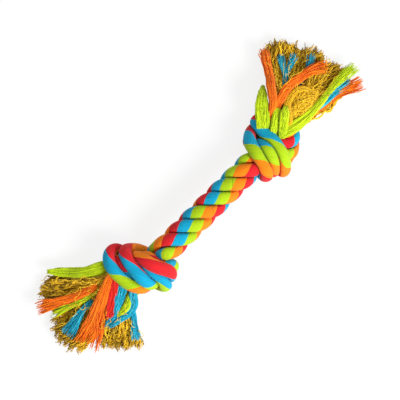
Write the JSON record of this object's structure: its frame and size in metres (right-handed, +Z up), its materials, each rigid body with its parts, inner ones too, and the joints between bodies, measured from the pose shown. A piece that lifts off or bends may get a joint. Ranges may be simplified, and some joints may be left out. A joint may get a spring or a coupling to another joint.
{
  "type": "rope dog toy",
  "caption": "Tug and chew toy of thick, brightly coloured laid rope with an overhand knot near each end and frayed yarn tails past the knots.",
  "frame": {"origin": "under the middle of the toy's box, on the surface that its two knots lie on", "axes": "+X along the rope towards the right-hand knot, +Y across it, +Z up from the surface"},
  "size_m": [0.2898, 0.0898, 0.0374],
  "materials": {
    "rope_strand": "soft cotton cover in red, blue, lime and orange stripes",
    "cover_red": "soft cotton yarn",
    "cover_blue": "soft cotton yarn",
    "cover_lime": "soft cotton yarn",
    "cover_orange": "soft cotton yarn",
    "yarn_core": "loose frayed yarn"
  },
  "bodies": {
    "rope_middle": {"rope_middle_strand_1": "rope_strand", "rope_middle_strand_2": "rope_strand", "rope_middle_strand_3": "rope_strand"},
    "rope_left": {"rope_left_strand_1": "rope_strand", "rope_left_strand_2": "rope_strand", "rope_left_strand_3": "rope_strand"},
    "rope_right": {"rope_right_strand_1": "rope_strand", "rope_right_strand_2": "rope_strand", "rope_right_strand_3": "rope_strand"},
    "knot_left": {"knot_left_strand_1": "rope_strand", "knot_left_strand_2": "rope_strand", "knot_left_strand_3": "rope_strand"},
    "knot_right": {"knot_right_strand_1": "rope_strand", "knot_right_strand_2": "rope_strand", "knot_right_strand_3": "rope_strand"},
    "tail_left_1": {"tail_left_1_core": "yarn_core", "tail_left_1_red": "cover_red", "tail_left_1_blue": "cover_blue", "tail_left_1_lime": "cover_lime", "tail_left_1_orange": "cover_orange"},
    "tail_left_2": {"tail_left_2_core": "yarn_core", "tail_left_2_red": "cover_red", "tail_left_2_blue": "cover_blue", "tail_left_2_lime": "cover_lime", "tail_left_2_orange": "cover_orange"},
    "tail_left_3": {"tail_left_3_core": "yarn_core", "tail_left_3_red": "cover_red", "tail_left_3_blue": "cover_blue", "tail_left_3_lime": "cover_lime", "tail_left_3_orange": "cover_orange"},
    "tail_right_1": {"tail_right_1_core": "yarn_core", "tail_right_1_red": "cover_red", "tail_right_1_blue": "cover_blue", "tail_right_1_lime": "cover_lime", "tail_right_1_orange": "cover_orange"},
    "tail_right_2": {"tail_right_2_core": "yarn_core", "tail_right_2_red": "cover_red", "tail_right_2_blue": "cover_blue", "tail_right_2_lime": "cover_lime", "tail_right_2_orange": "cover_orange"},
    "tail_right_3": {"tail_right_3_core": "yarn_core", "tail_right_3_red": "cover_red", "tail_right_3_blue": "cover_blue", "tail_right_3_lime": "cover_lime", "tail_right_3_orange": "cover_orange"}
  },
  "joints": [
    {"name": "bend_left", "type": "hinge", "parent": "rope_middle", "child": "rope_left", "pos_m": [-0.0159, -0.01077, 0.0215], "axis": [0, 0, 1], "range_deg": [-30, 30], "stiffness_Nm_per_rad": 0.4},
    {"name": "lift_knot_left", "type": "hinge", "parent": "rope_left", "child": "knot_left", "pos_m": [-0.0394, -0.01077, 0.0215], "axis": [0, 1, 0], "range_deg": [0, 30], "stiffness_Nm_per_rad": 0.4},
    {"name": "lift_tail_left_1", "type": "hinge", "parent": "knot_left", "child": "tail_left_1", "pos_m": [-0.0895, -0.01497, 0.0185], "axis": [0, 1, 0], "range_deg": [0, 45]},
    {"name": "lift_tail_left_2", "type": "hinge", "parent": "knot_left", "child": "tail_left_2", "pos_m": [-0.0895, -0.00577, 0.0185], "axis": [0, 1, 0], "range_deg": [0, 45]},
    {"name": "lift_tail_left_3", "type": "hinge", "parent": "knot_left", "child": "tail_left_3", "pos_m": [-0.0895, 0.00343, 0.0185], "axis": [0, 1, 0], "range_deg": [0, 45]},
    {"name": "bend_right", "type": "hinge", "parent": "rope_middle", "child": "rope_right", "pos_m": [0.0091, -0.01077, 0.0215], "axis": [0, 0, 1], "range_deg": [-30, 30], "stiffness_Nm_per_rad": 0.4},
    {"name": "lift_knot_right", "type": "hinge", "parent": "rope_right", "child": "knot_right", "pos_m": [0.0326, -0.01077, 0.0215], "axis": [0, -1, 0], "range_deg": [0, 30], "stiffness_Nm_per_rad": 0.4},
    {"name": "lift_tail_right_1", "type": "hinge", "parent": "knot_right", "child": "tail_right_1", "pos_m": [0.0827, -0.01197, 0.0195], "axis": [0, -1, 0], "range_deg": [0, 45]},
    {"name": "lift_tail_right_2", "type": "hinge", "parent": "knot_right", "child": "tail_right_2", "pos_m": [0.0827, -0.00277, 0.0195], "axis": [0, -1, 0], "range_deg": [0, 45]},
    {"name": "lift_tail_right_3", "type": "hinge", "parent": "knot_right", "child": "tail_right_3", "pos_m": [0.0827, 0.00643, 0.0195], "axis": [0, -1, 0], "range_deg": [0, 45]}
  ]
}
